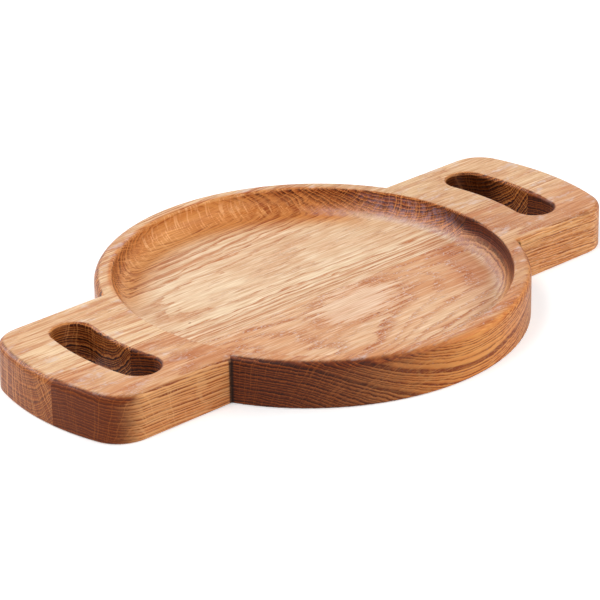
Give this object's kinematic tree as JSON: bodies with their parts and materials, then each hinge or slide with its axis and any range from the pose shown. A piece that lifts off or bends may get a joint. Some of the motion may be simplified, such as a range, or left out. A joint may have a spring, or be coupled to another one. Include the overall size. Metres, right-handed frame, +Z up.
{
  "type": "serving board",
  "caption": "Round dished oak serving board with flat handles, each with a curved grip slot, glued up from staves and milled with eased edges.",
  "frame": {"origin": "centre of the underside, where the board rests", "axes": "+X along the staves and through both handles, +Y from the front stave to the back stave, +Z up out of the dish"},
  "size_m": [0.476, 0.3, 0.033],
  "materials": {
    "back_oak": "oiled oak, straight grained beside the glue line",
    "front_oak": "oiled oak, flat sawn with broad figure"
  },
  "bodies": {
    "root": {"back_stave": "back_oak", "front_stave": "front_oak"}
  },
  "joints": []
}
